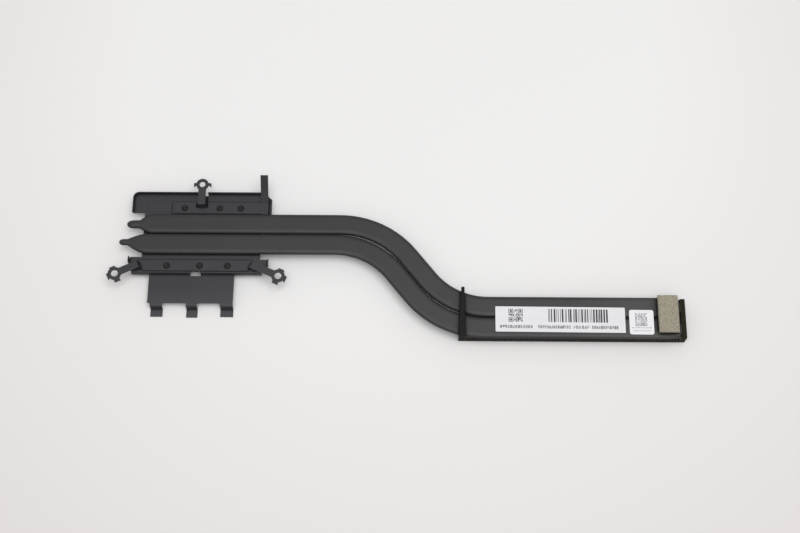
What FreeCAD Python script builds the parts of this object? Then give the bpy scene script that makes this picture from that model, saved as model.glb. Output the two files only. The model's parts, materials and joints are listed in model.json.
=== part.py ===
import FreeCAD, Part
import math
import os

# Laptop cooling fan heatsink: two flattened copper heat pipes lie side by side on a
# stamped base plate, swing through an S-bend and carry a stack of thin fins.
# Millimetres, +Z up. The origin is the middle of the copper block's contact face,
# +X runs along the pipes towards the fins and +Y points to the rear.

# Sheets
same_point = 0.000001
cut_margin = 1.0
plate_thickness = 0.4
spring_thickness = 0.4
bend_radius = 0.45
rear_lip_height = 1.6
front_lip_height = 2.0
lip_overlap = 0.2
sheet_corner = 0.5

# Copper contact block
block_base_length = 34.0
block_base_width = 17.0
block_base_height = 1.6
pedestal_length = 28.0
pedestal_width = 13.0
pedestal_height = 1.4
pedestal_corner = 1.0
block_clearance = 0.15

# Heat pipes
pipe_width = 8.65
pipe_thickness = 2.0
pipe_shoulder = 1.5
pipe_gap = 0.15
bend_gap = 0.1
pipe_bend_angle = 51.4
pipe_drop = 35.2
first_corner_x = 74.4
rear_first_radius = 35.6
rear_second_radius = 31.1
front_first_radius = 31.1
front_second_radius = 36.9
rear_body_start_x = -20.4
front_body_start_x = -22.7
rear_nose_length = 4.7
front_nose_length = 7.0
rear_nipple_length = 5.2
front_nipple_length = 3.3
rear_nipple_width = 3.6
front_nipple_width = 2.7
rear_nipple_offset = -0.3
front_nipple_offset = 0.6
stem_shoulder_share = 0.46
pipe_end_taper = 5.6
pipe_end_width = 3.8
pipe_end_thickness = 1.5
nose_shares = (0.0, 0.3, 0.65, 1.0)
nose_power = 1.4
stem_shares = (0.0, 0.6, 0.86, 1.0)
stem_widths = (1.0, 0.97, 0.76, 0.34)
stem_thicknesses = (1.0, 1.0, 0.8, 0.4)
tail_shares = (0.0, 0.5, 0.86, 1.0)

# Base plate
tray_left_x = -28.75
tray_rear_y = 18.45
tray_front_y = 9.55
tray_corner = 2.6
tray_lip_end_x = 24.0
tray_right_x = 27.5
tray_right_front_y = 8.6
tray_right_rear_y = 17.1
side_flange_run = 1.2
side_flange_rise = 0.6
side_flange_chamfer = 1.5
waist_left_x = -23.6
waist_right_x = 24.7
front_tray_left_x = -28.9
front_tray_right_x = 28.3
front_tray_left_y = -9.8
front_tray_right_y = -10.7
front_tray_front_y = -16.4
front_tray_right_chamfer = 2.0
front_tray_left_chamfer = 0.7
lip_relief = 0.3
left_lip_length = 2.6
right_lip_length = 2.8
step_height = 1.6
step_run = 0.35
hook_plate_left_x = -20.4
hook_plate_right_x = 14.3
hook_plate_front_y = -29.0
hook_spans = ((-19.3, -14.4), (-4.7, -0.2), (9.1, 14.3))
hook_lengths = (3.2, 3.5, 3.2)
hook_riser_y = -30.05
hook_riser_run = 0.6
hook_drop = 3.0
panel_left_x = -23.0
panel_right_x = -11.9
panel_rear_y = 15.1
panel_front_y = 9.95
panel_depth = 0.08
window_left_x = -3.6
window_right_x = 0.7
window_rear_y = -15.95
window_front_y = -17.4

# Spring brackets
rear_strip_left_x = -12.3
rear_strip_right_x = 27.3
rear_strip_front_y = 9.4
rear_strip_rear_y = 14.4
rear_strip_foot_x = 24.8
rear_strip_foot_y = 8.6
arm_rise = 2.5
arm_run = 0.8
rear_hole = (-0.15, 21.35)
rear_hole_diameter = 2.4
rear_ring_diameter = 5.1
rear_arm_root_y = 11.95
rear_arm_width = 3.1
rear_arm_relief = 0.95
arm_slot_left = 1.9
arm_slot_right = 2.3
arm_pocket_length = 1.85
tab_left_x = 24.2
tab_start_y = 14.1
tab_length = 11.9
tab_angle = 35.0
front_strip_rear_y = -11.15
front_strip_front_y = -15.75
front_strip_left_x = -23.9
front_strip_right_x = 20.7
front_left_hole = (-33.6, -18.0)
front_right_hole = (32.6, -18.65)
front_hole_diameter = 2.8
front_ring_diameter = 5.5
front_arm_width = 3.0
rear_ear_reach = 1.0
rear_ear_width = 1.2
rear_ear_drop = 1.7
front_ear_reach = 0.5
front_ear_width = 2.4
front_ear_drop = 1.8
ear_fold = 0.3

# Rivets
rivet_hole_diameter = 1.5
rivet_head_diameter = 2.6
rivet_head_height = 0.35
rear_rivet_x = (-7.25, 7.15, 15.95)
rear_rivet_y = 11.7
front_rivet_x = (-13.15, 0.25, 11.6)
front_rivet_y = -13.65

# Fin stack
fin_height = 5.0
fin_depth = 16.4
fin_thickness = 0.2
fin_pitch = 1.29
fin_start_x = 108.1
fin_length = 86.7

# Foam seals
seal_front_width = 2.5
seal_rear_width = 1.7
seal_foam = 0.8
seal_rear_y = -24.7
seal_slot_clearance = 0.05
seal_tail_width = 1.4
seal_tail_length = 1.9
seal_tail_height = 1.6
end_seal_thickness = 2.0
end_seal_height = 6.4

# Gasket, labels and thermal pads
gasket_length = 15.5
gasket_width = 8.2
gasket_height = 1.8
gasket_inset = 9.3
gasket_overhang = 0.4
gasket_corner = 0.6
label_thickness = 0.12
main_label_length = 52.0
main_label_width = 10.6
main_label_margin = 2.4
label_gap = 1.6
label_gasket_gap = 1.8
small_label_length = 9.8
small_label_width = 10.3
small_label_margin = 1.65
pad_thickness = 1.0
hook_pad_length = 30.0
hook_pad_width = 9.0
hook_pad_margin = 1.2
rear_pad_length = 17.0
rear_pad_width = 6.4
rear_pad_margin = 0.85
rear_pad_overlap = 4.0

# Worked out from the sizes above
plate_top = block_base_height + pedestal_height
plate_bottom = plate_top - plate_thickness
strip_top = plate_top + spring_thickness
pipe_bottom = plate_top
pipe_top = pipe_bottom + pipe_thickness
pipe_middle = (pipe_bottom + pipe_top) / 2
pipe_pitch = pipe_width + pipe_gap
rear_pipe_y = pipe_pitch / 2
front_pipe_y = -pipe_pitch / 2
fin_rear_pipe_y = rear_pipe_y - pipe_drop
fin_front_pipe_y = front_pipe_y - pipe_drop
fin_middle_y = (fin_rear_pipe_y + fin_front_pipe_y) / 2
fin_top = pipe_bottom
fin_bottom = fin_top - fin_height
fin_end_x = fin_start_x + fin_length
pipe_end_x = fin_end_x
gasket_left_x = fin_end_x - gasket_inset
small_label_x = gasket_left_x - label_gasket_gap - small_label_length
main_label_x = small_label_x - label_gap - main_label_length
main_label_front_y = fin_front_pipe_y - pipe_width / 2 + main_label_margin
small_label_front_y = fin_front_pipe_y - pipe_width / 2 + small_label_margin
hook_plate_top = plate_top - step_height


def vec(x, y, z=0.0):
    return FreeCAD.Vector(x, y, z)


def save(shape, node):
    """Writes one sub-part and says what it holds."""
    if not shape.isValid():
        raise ValueError(node + " is not a valid shape")
    shape.exportStep("parts/" + node + ".step")
    print(node, len(shape.Solids), "solid(s)", round(shape.Volume, 2), "mm3")


def box(x0, x1, y0, y1, z0, z1):
    return Part.makeBox(x1 - x0, y1 - y0, z1 - z0, vec(x0, y0, z0))


def rounded_wire(corners):
    """Closed wire in the XY plane through corners (x, y, radius)."""
    count = len(corners)
    starts = []
    arcs = []
    for i in range(count):
        x, y, radius = corners[i]
        here = vec(x, y)
        before = vec(corners[i - 1][0], corners[i - 1][1])
        after = vec(corners[(i + 1) % count][0], corners[(i + 1) % count][1])
        to_before = (before - here).normalize()
        to_after = (after - here).normalize()
        if radius == 0:
            starts.append((here, here))
            arcs.append(None)
            continue
        half = to_before.getAngle(to_after) / 2
        reach = radius / math.tan(half)
        first = here + to_before * reach
        last = here + to_after * reach
        bisector = (to_before + to_after).normalize()
        middle = here + bisector * (radius / math.sin(half) - radius)
        starts.append((first, last))
        arcs.append(Part.Arc(first, middle, last).toShape())
    edges = []
    for i in range(count):
        if arcs[i] is not None:
            edges.append(arcs[i])
        begin = starts[i][1]
        end = starts[(i + 1) % count][0]
        if begin.distanceToPoint(end) > same_point:
            edges.append(Part.makeLine(begin, end))
    return Part.Wire(Part.sortEdges(edges)[0])


def slab(corners, z0, height):
    """Flat piece of one outline, from z0 upwards."""
    face = Part.Face(rounded_wire(corners))
    face.translate(vec(0, 0, z0))
    return face.extrude(vec(0, 0, height))


def rectangle(x0, x1, y0, y1, radius=0.0):
    return [(x0, y0, radius), (x1, y0, radius), (x1, y1, radius), (x0, y1, radius)]


def bent_band(points, thickness, radius):
    """Face of a sheet seen edge-on: a middle line of (u, w) points with rounded bends."""
    half = thickness / 2
    path = [vec(p[0], p[1]) for p in points]
    left = []
    right = []
    left_from = None
    right_from = None
    for i in range(len(path) - 1):
        along = (path[i + 1] - path[i]).normalize()
        normal = vec(-along.y, along.x)
        if i == 0:
            left_from = path[0] + normal * half
            right_from = path[0] - normal * half
        if i == len(path) - 2:
            left_to = path[-1] + normal * half
            right_to = path[-1] - normal * half
            left.append(Part.makeLine(left_from, left_to))
            right.append(Part.makeLine(right_from, right_to))
            break
        following = (path[i + 2] - path[i + 1]).normalize()
        turn = along.getAngle(following)
        side = 1.0 if along.x * following.y - along.y * following.x > 0 else -1.0
        reach = radius * math.tan(turn / 2)
        centre = path[i + 1] - along * reach + normal * side * radius
        out = (path[i + 1] - centre).normalize()
        next_normal = vec(-following.y, following.x)
        for edges, start, offset in ((left, left_from, 1.0), (right, right_from, -1.0)):
            size = radius - side * offset * half
            arc_start = centre - normal * side * size
            arc_end = centre - next_normal * side * size
            edges.append(Part.makeLine(start, arc_start))
            edges.append(Part.Arc(arc_start, centre + out * size, arc_end).toShape())
        left_from = centre - next_normal * side * (radius - side * half)
        right_from = centre - next_normal * side * (radius + side * half)
    ends = [Part.makeLine(left[-1].Vertexes[-1].Point, right[-1].Vertexes[-1].Point)]
    ends.append(Part.makeLine(right[0].Vertexes[0].Point, left[0].Vertexes[0].Point))
    edges = left + right + ends
    return Part.Face(Part.Wire(Part.sortEdges(edges)[0]))


def bent_sheet(points, thickness, width, origin, direction):
    """Bent sheet that runs from origin (x, y, z) along a direction in the XY plane."""
    band = bent_band(points, thickness, bend_radius)
    band.rotate(vec(0, 0), vec(1, 0), 90)
    sheet = band.extrude(vec(0, width, 0))
    sheet.translate(vec(0, -width / 2, 0))
    sheet.rotate(vec(0, 0), vec(0, 0, 1), direction)
    sheet.translate(vec(*origin))
    return sheet


def contact_block():
    half_x = block_base_length / 2
    half_y = block_base_width / 2
    base = box(-half_x, half_x, -half_y, half_y, pedestal_height, pedestal_height + block_base_height)
    half_x = pedestal_length / 2
    half_y = pedestal_width / 2
    outline = rectangle(-half_x, half_x, -half_y, half_y, pedestal_corner)
    pedestal = slab(outline, 0.0, pedestal_height)
    return base.fuse(pedestal).removeSplitter()


def section_wire(x, y, width, thickness, shoulder):
    """Flattened tube's section across X: two flats joined by elliptical shoulders."""
    flat = width / 2 - shoulder
    half = thickness / 2
    edges = []
    for side in (1.0, -1.0):
        centre = vec(x, y + side * flat, pipe_middle)
        tip = vec(x, y + side * (flat + shoulder), pipe_middle)
        top = vec(x, y + side * flat, pipe_middle + half)
        ellipse = Part.Ellipse(tip, top, centre)
        edges.append(Part.ArcOfEllipse(ellipse, -math.pi / 2, math.pi / 2).toShape())
    for z in (pipe_middle + half, pipe_middle - half):
        edges.append(Part.makeLine(vec(x, y + flat, z), vec(x, y - flat, z)))
    return Part.Wire(Part.sortEdges(edges)[0])


def pipe_route(y, corner_x, radii, start_x):
    """Centre line: straight, bend, short straight, bend back, straight."""
    first_radius, second_radius = radii
    angle = math.radians(pipe_bend_angle)
    along = vec(math.cos(angle), -math.sin(angle))
    first = vec(corner_x, y)
    second = first + along * (pipe_drop / math.sin(angle))
    first_reach = first_radius * math.tan(angle / 2)
    second_reach = second_radius * math.tan(angle / 2)
    half_turn = vec(math.sin(angle / 2), math.cos(angle / 2))
    bend_start = first - vec(first_reach, 0)
    bend_end = first + along * first_reach
    return_start = second - along * second_reach
    return_end = second + vec(second_reach, 0)
    first_middle = bend_start - vec(0, first_radius) + half_turn * first_radius
    second_middle = return_end + vec(0, second_radius) - half_turn * second_radius
    route = Part.Wire(
        [
            Part.makeLine(vec(start_x, y), bend_start),
            Part.Arc(bend_start, first_middle, bend_end).toShape(),
            Part.makeLine(bend_end, return_start),
            Part.Arc(return_start, second_middle, return_end).toShape(),
            Part.makeLine(return_end, vec(pipe_end_x - pipe_end_taper, y - pipe_drop)),
        ]
    )
    route.translate(vec(0, 0, pipe_middle))
    return route


def drawn_share(share):
    """How far the nose is drawn down: slowly at the body, then quickly towards the stem."""
    return share**nose_power


def pipe_nose(x, y, length, nipple_width, nipple_offset, nipple_reach):
    """Drawn-down end: shoulders close in to the crimped filling stem with a round tip."""
    sections = []
    for share in nose_shares:
        drawn = drawn_share(share)
        width = pipe_width + (nipple_width - pipe_width) * drawn
        shoulder = pipe_shoulder + (nipple_width * stem_shoulder_share - pipe_shoulder) * drawn
        place = x - length * share
        sections.append(section_wire(place, y + nipple_offset * drawn, width, pipe_thickness, shoulder))
    body = Part.makeLoft(sections, True, True)
    sections = []
    for share, wide, thick in zip(stem_shares, stem_widths, stem_thicknesses):
        width = nipple_width * wide
        place = x - length - nipple_reach * share
        shoulder = width * stem_shoulder_share
        thickness = pipe_thickness * thick
        sections.append(section_wire(place, y + nipple_offset, width, thickness, shoulder))
    return body.fuse(Part.makeLoft(sections, True, True))


def pipe_tail(x, y):
    """Closed far end: the flattened tube narrows in a quick curve."""
    sections = []
    for share in tail_shares:
        closing = math.sqrt(1 - share * share)
        width = pipe_end_width + (pipe_width - pipe_end_width) * closing
        thickness = pipe_end_thickness + (pipe_thickness - pipe_end_thickness) * closing
        sections.append(section_wire(x + pipe_end_taper * share, y, width, thickness, pipe_shoulder))
    return Part.makeLoft(sections, True, True)


def rear_route():
    radii = (rear_first_radius, rear_second_radius)
    return pipe_route(rear_pipe_y, first_corner_x, radii, rear_body_start_x)


def front_route():
    """Starts its bend earlier, so that the two pipes stay bend_gap apart on the slant."""
    angle = math.radians(pipe_bend_angle)
    pitch_in_bend = pipe_width + bend_gap
    shift = (pitch_in_bend - pipe_pitch * math.cos(angle)) / math.sin(angle)
    radii = (front_first_radius, front_second_radius)
    return pipe_route(front_pipe_y, first_corner_x - shift, radii, front_body_start_x)


def heat_pipe(route, nose):
    start = route.Vertexes[0].Point
    end = route.Vertexes[-1].Point
    section = section_wire(start.x, start.y, pipe_width, pipe_thickness, pipe_shoulder)
    body = route.makePipeShell([section], True, False)
    return body.fuse([nose, pipe_tail(end.x, end.y)]).removeSplitter()


def rear_pipe():
    nose = pipe_nose(
        rear_body_start_x,
        rear_pipe_y,
        rear_nose_length,
        rear_nipple_width,
        rear_nipple_offset,
        rear_nipple_length,
    )
    return heat_pipe(rear_route(), nose)


def front_pipe():
    nose = pipe_nose(
        front_body_start_x,
        front_pipe_y,
        front_nose_length,
        front_nipple_width,
        front_nipple_offset,
        front_nipple_length,
    )
    return heat_pipe(front_route(), nose)


def lip_profile(height):
    """Middle line of an edge that turns up from the plate."""
    wall = bend_radius + lip_overlap
    middle = plate_thickness / 2
    return [(-wall, middle), (0.0, middle), (0.0, plate_thickness + height)]


def swept_lip(route, start, outward):
    """The rear tray's turned-up edge carried along a curved route in the XY plane."""
    band = bent_band(lip_profile(rear_lip_height), plate_thickness, bend_radius)
    band.rotate(vec(0, 0), vec(1, 0), 90)
    band.rotate(vec(0, 0), vec(0, 0, 1), outward)
    band.translate(start)
    return route.makePipeShell([band.OuterWire], True, False)


def rear_tray_lip():
    """Wall along the tray's left side, round its corner and along its rear."""
    left = tray_left_x + plate_thickness / 2
    rear = tray_rear_y - plate_thickness / 2
    radius = tray_corner - plate_thickness / 2
    start = vec(left, tray_front_y, plate_bottom)
    side_end = vec(left, rear - radius, plate_bottom)
    rear_start = vec(left + radius, rear, plate_bottom)
    diagonal = radius * math.sqrt(0.5)
    corner = vec(left + radius - diagonal, rear - radius + diagonal, plate_bottom)
    end = vec(tray_lip_end_x, rear, plate_bottom)
    edges = [Part.makeLine(start, side_end), Part.Arc(side_end, corner, rear_start).toShape()]
    edges.append(Part.makeLine(rear_start, end))
    return swept_lip(Part.Wire(edges), start, 180)


def straight_lip(x, y0, y1, outward):
    """Turned-up end wall of the front tray; outward is 0 for +X and 180 for -X."""
    points = lip_profile(front_lip_height)
    return bent_sheet(points, plate_thickness, y1 - y0, (x, (y0 + y1) / 2, plate_bottom), outward)


def base_outline():
    """Flat part of the stamping: rear tray, waist under the pipes and front tray."""
    inset = plate_thickness / 2 + bend_radius
    left = tray_left_x + inset
    rear = tray_rear_y - inset
    front = front_tray_front_y + bend_radius
    front_left = front_tray_left_x + inset
    front_right = front_tray_right_x - inset
    return [
        (waist_left_x, tray_front_y, 0),
        (left, tray_front_y, 0),
        (left, rear, tray_corner - inset),
        (tray_lip_end_x, rear, 0),
        (tray_lip_end_x + sheet_corner, tray_right_rear_y, 0),
        (tray_right_x, tray_right_rear_y, 0),
        (tray_right_x, tray_right_front_y, 0),
        (waist_right_x, tray_right_front_y, 0),
        (waist_right_x, front_tray_right_y, 0),
        (front_right, front_tray_right_y, 0),
        (front_right, front_tray_right_y - lip_relief - right_lip_length, 0),
        (front_right - front_tray_right_chamfer, front, 0),
        (front_left + front_tray_left_chamfer, front, 0),
        (front_left, front + front_tray_left_chamfer / 2, 0),
        (front_left, front_tray_left_y, 0),
        (waist_left_x, front_tray_left_y, 0),
    ]


def front_step(x0, x1, tail):
    """Front edge of the tray folded down; tail carries on flat from the foot of the fold."""
    upper = plate_top - plate_thickness / 2
    lower = upper - step_height
    points = [(-2 * bend_radius, upper), (0.0, upper), (step_run, lower)]
    if tail > 0:
        points.append((tail, lower))
    origin = ((x0 + x1) / 2, front_tray_front_y, 0.0)
    return bent_sheet(points, plate_thickness, x1 - x0, origin, -90)


def hook(span, length):
    """Z-shaped foot at the free edge of the hook plate."""
    upper = hook_plate_top - plate_thickness / 2
    lower = upper - hook_drop
    riser = hook_plate_front_y - hook_riser_y
    foot = riser + hook_riser_run
    points = [(-2 * bend_radius, upper), (riser, upper), (foot, lower), (foot + length, lower)]
    origin = ((span[0] + span[1]) / 2, hook_plate_front_y, 0.0)
    return bent_sheet(points, plate_thickness, span[1] - span[0], origin, -90)


def side_flange():
    """Right edge of the rear tray turned up at a slant, with its rear corner cut off."""
    lower = plate_top - plate_thickness / 2
    points = [(-2 * bend_radius, lower), (0.0, lower), (side_flange_run, lower + side_flange_rise)]
    y0 = tray_right_front_y
    y1 = tray_right_rear_y
    flange = bent_sheet(points, plate_thickness, y1 - y0, (tray_right_x, (y0 + y1) / 2, 0.0), 0)
    reach = tray_right_x + 2 * side_flange_run
    corner = slab(
        [
            (reach, y1 - side_flange_chamfer - side_flange_run, 0),
            (reach, y1 + side_flange_run, 0),
            (tray_right_x - side_flange_chamfer, y1 + side_flange_run, 0),
        ],
        plate_bottom,
        2 * side_flange_rise,
    )
    return flange.cut(corner)


def rivet_holes(xs, y):
    radius = rivet_hole_diameter / 2
    return [Part.makeCylinder(radius, spring_thickness, vec(x, y, plate_top)) for x in xs]


def strip_opening():
    """Opening in the rear strip behind the arm's root."""
    half = rear_arm_width / 2 + rear_arm_relief
    x = rear_hole[0]
    far = rear_strip_rear_y + cut_margin
    return box(x - half, x + half, rear_arm_root_y, far, plate_top, strip_top + cut_margin)


def tray_openings():
    """Pocket in the tray behind the arm's root, and the slot from it out through the rear lip."""
    half = rear_arm_width / 2 + rear_arm_relief
    x = rear_hole[0]
    pocket_end = rear_arm_root_y + arm_pocket_length
    low = plate_bottom - cut_margin
    high = plate_top + rear_lip_height + cut_margin
    pocket = box(x - half, x + half, rear_arm_root_y, pocket_end, low, high)
    far = tray_rear_y + cut_margin
    slot = box(x - arm_slot_left, x + arm_slot_right, pocket_end, far, low, high)
    return [pocket, slot]


def side_panel():
    """Shallow pressed field of the tray beside the rear strip."""
    low = plate_top - panel_depth
    return box(panel_left_x, panel_right_x, panel_front_y, panel_rear_y, low, plate_top + cut_margin)


def block_window():
    """Opening that the copper block's base sits in."""
    half_x = block_base_length / 2 + block_clearance
    half_y = block_base_width / 2 + block_clearance
    return box(-half_x, half_x, -half_y, half_y, plate_bottom - cut_margin, plate_top + cut_margin)


def hook_plate_window():
    """Small opening across the fold in front of the front strip."""
    low = hook_plate_top - plate_thickness - cut_margin
    high = plate_top + cut_margin
    return box(window_left_x, window_right_x, window_front_y, window_rear_y, low, high)


def base_plate():
    plate = slab(base_outline(), plate_bottom, plate_thickness)
    left_wall = front_tray_left_x + plate_thickness / 2
    right_wall = front_tray_right_x - plate_thickness / 2
    left_lip_rear = front_tray_left_y - lip_relief
    right_lip_rear = front_tray_right_y - lip_relief
    pieces = [rear_tray_lip(), side_flange()]
    pieces.append(straight_lip(left_wall, left_lip_rear - left_lip_length, left_lip_rear, 180))
    pieces.append(straight_lip(right_wall, right_lip_rear - right_lip_length, right_lip_rear, 0))
    step_left = left_wall + bend_radius + front_tray_left_chamfer
    step_right = right_wall - bend_radius - front_tray_right_chamfer
    pieces.append(front_step(step_left, step_right, 0))
    hook_plate_width = front_tray_front_y - hook_plate_front_y
    pieces.append(front_step(hook_plate_left_x, hook_plate_right_x, hook_plate_width))
    for span, length in zip(hook_spans, hook_lengths):
        pieces.append(hook(span, length))
    plate = plate.fuse(pieces)
    cuts = [block_window(), hook_plate_window(), side_panel()] + tray_openings()
    return plate.cut(cuts).removeSplitter()


def ear(radius, top, size, turn):
    """Short edge of a screw ring folded down, with the fold's outer corner broken."""
    reach, width, drop = size
    outer = radius + reach
    below = top - spring_thickness
    profile = [
        vec(radius / 2, 0, top),
        vec(outer - ear_fold, 0, top),
        vec(outer, 0, top - ear_fold),
        vec(outer, 0, top - drop),
        vec(outer - spring_thickness, 0, top - drop),
        vec(outer - spring_thickness, 0, below),
        vec(radius / 2, 0, below),
    ]
    piece = Part.Face(Part.makePolygon(profile + profile[:1])).extrude(vec(0, width, 0))
    piece.translate(vec(0, -width / 2, 0))
    piece.rotate(vec(0, 0), vec(0, 0, 1), turn)
    return piece


def screw_arm(root, hole, width, ring, ears):
    """Arm that rises from a strip and ends in a ring with turned-down ears."""
    ring_diameter, hole_diameter = ring
    ear_size, ear_turns = ears
    strip_middle = plate_top + spring_thickness / 2
    raised = strip_middle + arm_rise
    reach = math.hypot(hole[0] - root[0], hole[1] - root[1])
    direction = math.degrees(math.atan2(hole[1] - root[1], hole[0] - root[0]))
    root_overlap = 2 * bend_radius
    points = [(-root_overlap, strip_middle), (0.0, strip_middle), (arm_run, raised), (reach, raised)]
    arm = bent_sheet(points, spring_thickness, width, (0.0, 0.0, 0.0), 0)
    ring_top = raised + spring_thickness / 2
    ring_bottom = raised - spring_thickness / 2
    pieces = [Part.makeCylinder(ring_diameter / 2, spring_thickness, vec(0, 0, ring_bottom))]
    pieces += [ear(ring_diameter / 2, ring_top, ear_size, turn) for turn in ear_turns]
    for piece in pieces:
        piece.translate(vec(reach, 0))
    arm = arm.fuse(pieces)
    depth = spring_thickness + 2 * cut_margin
    arm = arm.cut(Part.makeCylinder(hole_diameter / 2, depth, vec(reach, 0, ring_bottom - cut_margin)))
    arm.rotate(vec(0, 0), vec(0, 0, 1), direction)
    arm.translate(vec(root[0], root[1]))
    return arm


def rear_spring():
    foot = rear_strip_foot_y
    strip = slab(
        [
            (rear_strip_left_x, rear_strip_front_y, sheet_corner),
            (rear_strip_foot_x, rear_strip_front_y, 0),
            (rear_strip_foot_x, foot, 0),
            (rear_strip_right_x, foot, 0),
            (rear_strip_right_x, tab_start_y, 0),
            (tab_left_x, tab_start_y, 0),
            (tab_left_x, rear_strip_rear_y, 0),
            (rear_strip_left_x, rear_strip_rear_y, sheet_corner),
        ],
        plate_top,
        spring_thickness,
    )
    strip_middle = plate_top + spring_thickness / 2
    slope = math.radians(tab_angle)
    points = [(-2 * bend_radius, strip_middle), (0.0, strip_middle)]
    points.append((tab_length * math.cos(slope), strip_middle + tab_length * math.sin(slope)))
    origin = ((tab_left_x + rear_strip_right_x) / 2, tab_start_y, 0.0)
    tab = bent_sheet(points, spring_thickness, rear_strip_right_x - tab_left_x, origin, 90)
    root = (rear_hole[0], rear_arm_root_y)
    strip = strip.cut([strip_opening()] + rivet_holes(rear_rivet_x, rear_rivet_y))
    ring = (rear_ring_diameter, rear_hole_diameter)
    ears = ((rear_ear_reach, rear_ear_width, rear_ear_drop), (-90, 90))
    arm = screw_arm(root, rear_hole, rear_arm_width, ring, ears)
    return strip.fuse([tab, arm]).removeSplitter()


def front_spring():
    middle = (front_strip_rear_y + front_strip_front_y) / 2
    roots = ((front_strip_left_x, middle), (front_strip_right_x, middle))
    holes = (front_left_hole, front_right_hole)
    half_width = (front_strip_rear_y - front_strip_front_y) / 2
    ends = []
    for root, hole in zip(roots, holes):
        lean = half_width * (hole[1] - root[1]) / (hole[0] - root[0])
        ends.append((root[0] + lean, root[0] - lean))
    strip = slab(
        [
            (ends[0][0], front_strip_front_y, sheet_corner),
            (ends[1][0], front_strip_front_y, sheet_corner),
            (ends[1][1], front_strip_rear_y, 0),
            (ends[0][1], front_strip_rear_y, 0),
        ],
        plate_top,
        spring_thickness,
    )
    ring = (front_ring_diameter, front_hole_diameter)
    ears = ((front_ear_reach, front_ear_width, front_ear_drop), (-90, 0, 90))
    arms = []
    for root, hole in zip(roots, holes):
        arms.append(screw_arm(root, hole, front_arm_width, ring, ears))
    strip = strip.cut(rivet_holes(front_rivet_x, front_rivet_y))
    return strip.fuse(arms).removeSplitter()


def rivet(x, y):
    """Press rivet: its shank stands on the plate inside the strip's hole, under a flat head."""
    head = rivet_head_diameter / 2
    shank = rivet_hole_diameter / 2
    top = strip_top + rivet_head_height
    outline = [
        (0, plate_top),
        (shank, plate_top),
        (shank, strip_top),
        (head, strip_top),
        (head, top),
        (0, top),
    ]
    points = [vec(r, 0, z) for r, z in outline]
    face = Part.Face(Part.makePolygon(points + points[:1]))
    body = face.revolve(vec(0, 0), vec(0, 0, 1), 360)
    body.translate(vec(x, y))
    return body


def upright_rectangle(x0, x1, y, z0, z1):
    corners = [vec(x0, y, z0), vec(x1, y, z0), vec(x1, y, z1), vec(x0, y, z1)]
    return Part.makePolygon(corners + corners[:1])


def fin_stack():
    """Folded fins side by side: flanges butt into a flat top and bottom, air passes along Y."""
    rear = fin_middle_y + fin_depth / 2
    wires = [upright_rectangle(fin_start_x, fin_end_x, rear, fin_bottom, fin_top)]
    count = int((fin_end_x - fin_start_x - fin_thickness) / fin_pitch + same_point)
    for i in range(count):
        x0 = fin_start_x + fin_thickness + i * fin_pitch
        x1 = x0 + fin_pitch - fin_thickness
        low = fin_bottom + fin_thickness
        high = fin_top - fin_thickness
        wires.append(upright_rectangle(x0, x1, rear, low, high))
    face = Part.makeFace(wires, "Part::FaceMakerBullseye")
    return face.extrude(vec(0, -fin_depth, 0))


def pipe_slot(route):
    """Square-cornered passage for one pipe, along the pipe's own route."""
    start = route.Vertexes[0].Point
    half = pipe_width / 2 + seal_slot_clearance
    corners = [
        vec(start.x, start.y - half, pipe_bottom),
        vec(start.x, start.y + half, pipe_bottom),
        vec(start.x, start.y + half, pipe_top),
        vec(start.x, start.y - half, pipe_top),
    ]
    section = Part.makePolygon(corners + corners[:1])
    return route.makePipeShell([section], True, False)


def left_seal():
    """Foam block round both pipes at the near end of the fins, with its joined tail behind."""
    front = fin_middle_y - fin_depth / 2
    rear = fin_middle_y + fin_depth / 2
    front_x = fin_start_x - seal_front_width
    rear_x = fin_start_x - seal_rear_width
    front_edge = [(front_x, front, 0), (fin_start_x, front, 0)]
    upper_rear_edge = [(fin_start_x, seal_rear_y, 0), (rear_x, seal_rear_y, 0)]
    upper = slab(front_edge + upper_rear_edge, fin_top, pipe_thickness + seal_foam)
    lower_rear_edge = [(fin_start_x, rear, 0), (rear_x, rear, 0)]
    lower = slab(front_edge + lower_rear_edge, fin_bottom, fin_height)
    top = pipe_top + seal_foam
    tail_x = fin_start_x - seal_tail_width
    tail_y = seal_rear_y + seal_tail_length
    tail = box(tail_x, fin_start_x, seal_rear_y, tail_y, top - seal_tail_height, top)
    slots = [pipe_slot(rear_route()), pipe_slot(front_route())]
    return upper.fuse([lower, tail]).cut(slots).removeSplitter()


def end_seal():
    """Foam block that closes the far end of the fins."""
    front = fin_middle_y - fin_depth / 2
    rear = fin_middle_y + fin_depth / 2
    x1 = fin_end_x + end_seal_thickness
    return box(fin_end_x, x1, front, rear, fin_bottom, fin_bottom + end_seal_height)


def gasket():
    """Conductive gasket across both pipes, flat below and rounded along its top edges."""
    x0 = gasket_left_x
    rear = fin_rear_pipe_y + pipe_width / 2 + gasket_overhang
    body = box(x0, x0 + gasket_width, rear - gasket_length, rear, pipe_top, pipe_top + gasket_height)
    top_edges = []
    for edge in body.Edges:
        low = min(vertex.Z for vertex in edge.Vertexes)
        if edge.Length > gasket_width and low > pipe_top:
            top_edges.append(edge)
    return body.makeFillet(gasket_corner, top_edges)


def label(x0, y0, length, width):
    return box(x0, x0 + length, y0, y0 + width, pipe_top, pipe_top + label_thickness)


def hook_plate_pad():
    x0 = (hook_plate_left_x + hook_plate_right_x - hook_pad_length) / 2
    y0 = hook_plate_front_y + hook_pad_margin
    top = hook_plate_top - plate_thickness
    return box(x0, x0 + hook_pad_length, y0, y0 + hook_pad_width, top - pad_thickness, top)


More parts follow.
